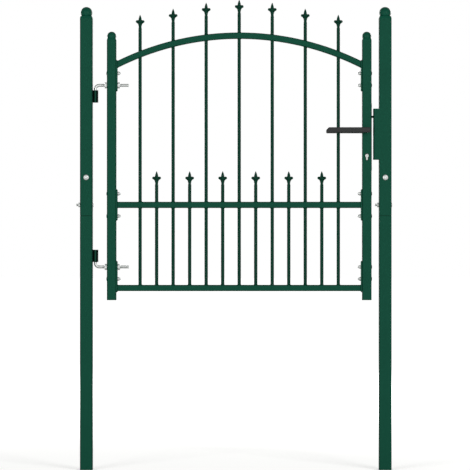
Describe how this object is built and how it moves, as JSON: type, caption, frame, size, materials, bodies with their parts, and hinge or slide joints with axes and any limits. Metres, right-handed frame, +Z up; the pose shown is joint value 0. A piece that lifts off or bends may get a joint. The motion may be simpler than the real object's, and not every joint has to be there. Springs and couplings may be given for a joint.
{
  "type": "spiked garden gate with posts",
  "caption": "Arched garden gate of round bars with spear spikes, hung on bent hinge bolts between two square posts with ball caps, with a lever handle, latch bolt and lock cylinder.",
  "frame": {"origin": "centre of the hinge post's foot", "axes": "+Z up along the posts, +X from the hinge post to the latch post, +Y from the front to the back"},
  "size_m": [1, 0.096, 1.5113],
  "materials": {
    "green_powder_coat": "satin powder coat on steel tube",
    "green_cap_plastic": "moulded, satin",
    "zinc_plate": "bright zinc plate",
    "lock_steel": "nickel plated",
    "black_lever": "fine moulded grain"
  },
  "bodies": {
    "posts": {"hinge_post_lower": "green_powder_coat", "hinge_post_upper": "green_powder_coat", "hinge_post_cap": "green_cap_plastic", "latch_post_lower": "green_powder_coat", "latch_post_upper": "green_powder_coat", "latch_post_cap": "green_cap_plastic", "upper_hinge_barrel": "green_powder_coat", "lower_hinge_barrel": "green_powder_coat", "strike_box": "green_powder_coat"},
    "leaf": {"hinge_stile": "green_powder_coat", "latch_stile": "green_powder_coat", "hinge_stile_cap": "green_cap_plastic", "latch_stile_cap": "green_cap_plastic", "arched_top_rail": "green_powder_coat", "middle_rail": "green_powder_coat", "bottom_rail": "green_powder_coat", "long_bar_1": "green_powder_coat", "long_bar_2": "green_powder_coat", "long_bar_3": "green_powder_coat", "long_bar_4": "green_powder_coat", "long_bar_5": "green_powder_coat", "long_bar_6": "green_powder_coat", "long_bar_7": "green_powder_coat", "short_bar_1": "green_powder_coat", "short_bar_2": "green_powder_coat", "short_bar_3": "green_powder_coat", "short_bar_4": "green_powder_coat", "short_bar_5": "green_powder_coat", "short_bar_6": "green_powder_coat", "upper_hinge_bolt": "zinc_plate", "lower_hinge_bolt": "zinc_plate", "lock_case": "lock_steel", "lock_cylinder": "lock_steel"},
    "handle": {"front_lever": "black_lever", "back_lever": "black_lever", "handle_spindle": "lock_steel"},
    "latch": {"latch_bolt": "lock_steel"}
  },
  "joints": [
    {"name": "leaf_swing", "type": "hinge", "parent": "posts", "child": "leaf", "pos_m": [0.029, 0, 0.95], "axis": [0, 0, 1], "range_deg": [-90, 90]},
    {"name": "handle_turn", "type": "hinge", "parent": "leaf", "child": "handle", "pos_m": [0.901, 0, 1.091], "axis": [0, -1, 0], "range_deg": [0, 40], "stiffness_Nm_per_rad": 0.8, "springref_deg": -22.92},
    {"name": "latch_slide", "type": "slide", "parent": "leaf", "child": "latch", "axis": [-1, 0, 0], "range_m": [0, 0.012]}
  ],
  "couplings": [
    {"joint": "latch_slide", "follows": "handle_turn", "m_per_rad": 0.01718}
  ]
}
